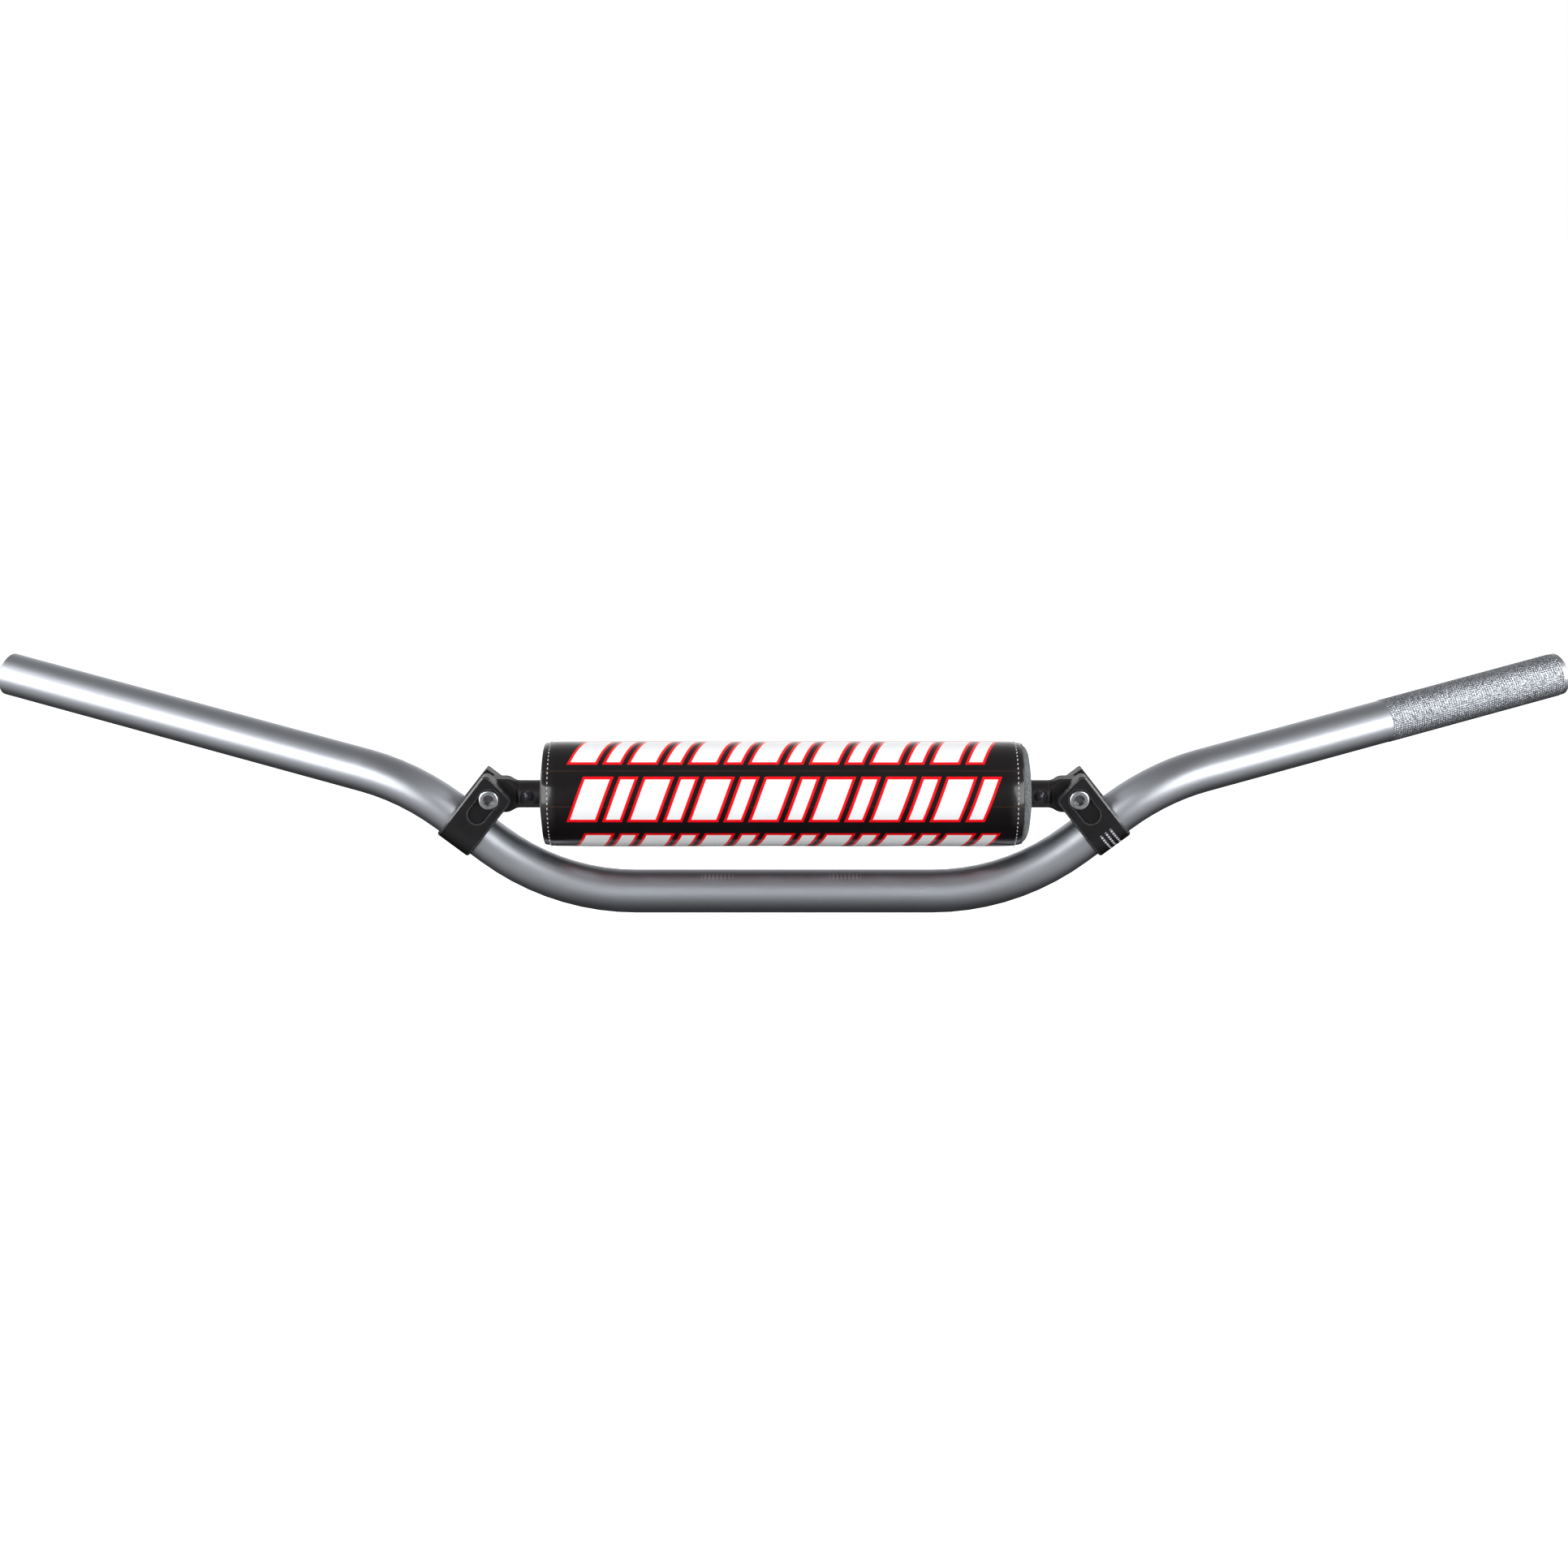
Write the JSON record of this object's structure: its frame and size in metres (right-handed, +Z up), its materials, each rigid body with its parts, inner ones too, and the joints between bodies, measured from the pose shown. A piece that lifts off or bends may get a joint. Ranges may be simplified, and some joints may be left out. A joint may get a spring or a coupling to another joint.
{
  "type": "motorcycle handlebar",
  "caption": "Bent tube handlebar with swept-back ends, braced by a clamped crossbar that carries a round wrap-around foam pad.",
  "frame": {"origin": "middle of the straight centre section that the stem clamps hold, on the tube's axis", "axes": "+X along the bar to the rider's left, +Y back towards the rider, +Z up"},
  "size_m": [0.8224, 0.0964, 0.1234],
  "materials": {
    "tube_alloy": "satin",
    "crossbar_black": "satin",
    "clamp_black": "satin",
    "rivet_black": "satin",
    "bolt_zinc": "satin",
    "foam_grey": "matte",
    "cover_vinyl": "gloss",
    "thread_grey": "matte",
    "hook_black": "matte",
    "loop_black": "matte"
  },
  "bodies": {
    "bar": {"handlebar_tube": "tube_alloy", "crossbar_tube": "crossbar_black", "crossbar_lug_left": "crossbar_black", "crossbar_lug_right": "crossbar_black", "lug_rivet_left": "rivet_black", "lug_rivet_right": "rivet_black", "crossbar_clamp_left": "clamp_black", "crossbar_clamp_right": "clamp_black", "clamp_bolt_left": "bolt_zinc", "clamp_bolt_right": "bolt_zinc"},
    "pad": {"pad_foam": "foam_grey", "pad_cover": "cover_vinyl", "pad_stitching_left": "thread_grey", "pad_stitching_right": "thread_grey", "pad_hook_strip": "hook_black"},
    "flap": {"pad_flap": "cover_vinyl", "pad_loop_strip": "loop_black"}
  },
  "joints": [
    {"name": "pad_turn", "type": "hinge", "parent": "bar", "child": "pad", "pos_m": [0, 0, 0.0516], "axis": [1, 0, 0], "range_deg": [-75, 180]},
    {"name": "flap_peel", "type": "hinge", "parent": "pad", "child": "flap", "pos_m": [0, 0.02508, 0.06493], "axis": [1, 0, 0], "range_deg": [0, 110]}
  ]
}
